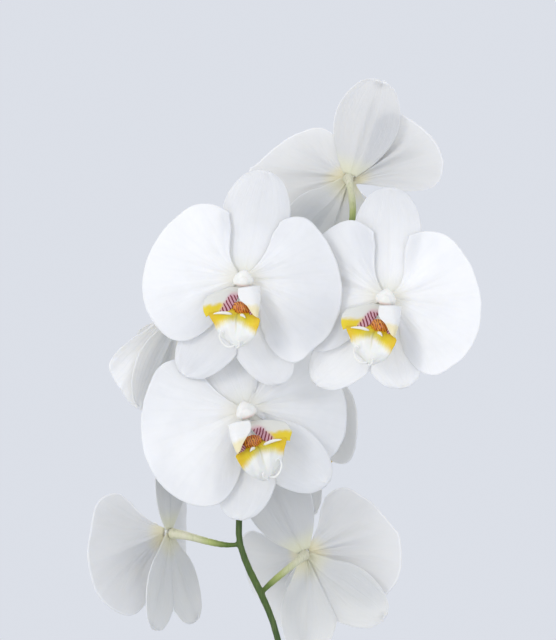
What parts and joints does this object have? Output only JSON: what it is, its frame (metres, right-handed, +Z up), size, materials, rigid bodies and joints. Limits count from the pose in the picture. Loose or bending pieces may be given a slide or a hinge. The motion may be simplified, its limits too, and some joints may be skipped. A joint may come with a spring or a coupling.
{
  "type": "potted orchid",
  "caption": "White moth orchid in flower in a plain round pot: an arching spike of open flowers over strap leaves, with aerial roots and bark mix.",
  "frame": {"origin": "centre of the pot's flat base, on the surface it stands on", "axes": "+Z up along the pot's axis, -Y towards the side that the front flowers face, +X to their right as seen from the front"},
  "size_m": [0.3326, 0.2122, 0.6385],
  "materials": {
    "petal": "soft satin white, faintly see-through, fine veins",
    "sepal": "soft satin white, a little greyer than the petals",
    "lip": "waxy yellow and white with dark red lines",
    "column": "waxy white",
    "stem": "smooth satin green",
    "leaf": "leathery semi-gloss dark green",
    "root": "matt silvery green",
    "bark": "rough dry bark",
    "pot": "satin off-white glaze"
  },
  "bodies": {
    "root": {"flower_1_dorsal_sepal": "sepal", "flower_1_lateral_sepals": "sepal", "flower_1_petal_left": "petal", "flower_1_petal_right": "petal", "flower_1_lip": "lip", "flower_1_column": "column", "flower_2_dorsal_sepal": "sepal", "flower_2_lateral_sepals": "sepal", "flower_2_petal_left": "petal", "flower_2_petal_right": "petal", "flower_2_lip": "lip", "flower_2_column": "column", "flower_3_dorsal_sepal": "sepal", "flower_3_lateral_sepals": "sepal", "flower_3_petal_left": "petal", "flower_3_petal_right": "petal", "flower_3_lip": "lip", "flower_3_column": "column", "flower_4_dorsal_sepal": "sepal", "flower_4_lateral_sepals": "sepal", "flower_4_petal_left": "petal", "flower_4_petal_right": "petal", "flower_4_lip": "lip", "flower_4_column": "column", "flower_5_dorsal_sepal": "sepal", "flower_5_lateral_sepals": "sepal", "flower_5_petal_left": "petal", "flower_5_petal_right": "petal", "flower_5_lip": "lip", "flower_5_column": "column", "flower_6_dorsal_sepal": "sepal", "flower_6_lateral_sepals": "sepal", "flower_6_petal_left": "petal", "flower_6_petal_right": "petal", "flower_6_lip": "lip", "flower_6_column": "column", "flower_7_dorsal_sepal": "sepal", "flower_7_lateral_sepals": "sepal", "flower_7_petal_left": "petal", "flower_7_petal_right": "petal", "flower_7_lip": "lip", "flower_7_column": "column", "flower_8_dorsal_sepal": "sepal", "flower_8_lateral_sepals": "sepal", "flower_8_petal_left": "petal", "flower_8_petal_right": "petal", "flower_8_lip": "lip", "flower_8_column": "column", "flower_spike": "stem", "stem_base": "stem", "leaf_1": "leaf", "leaf_2": "leaf", "leaf_3": "leaf", "leaf_4": "leaf", "leaf_5": "leaf", "root_1": "root", "root_2": "root", "root_3": "root", "bark_mix": "bark", "pot": "pot"}
  },
  "joints": []
}
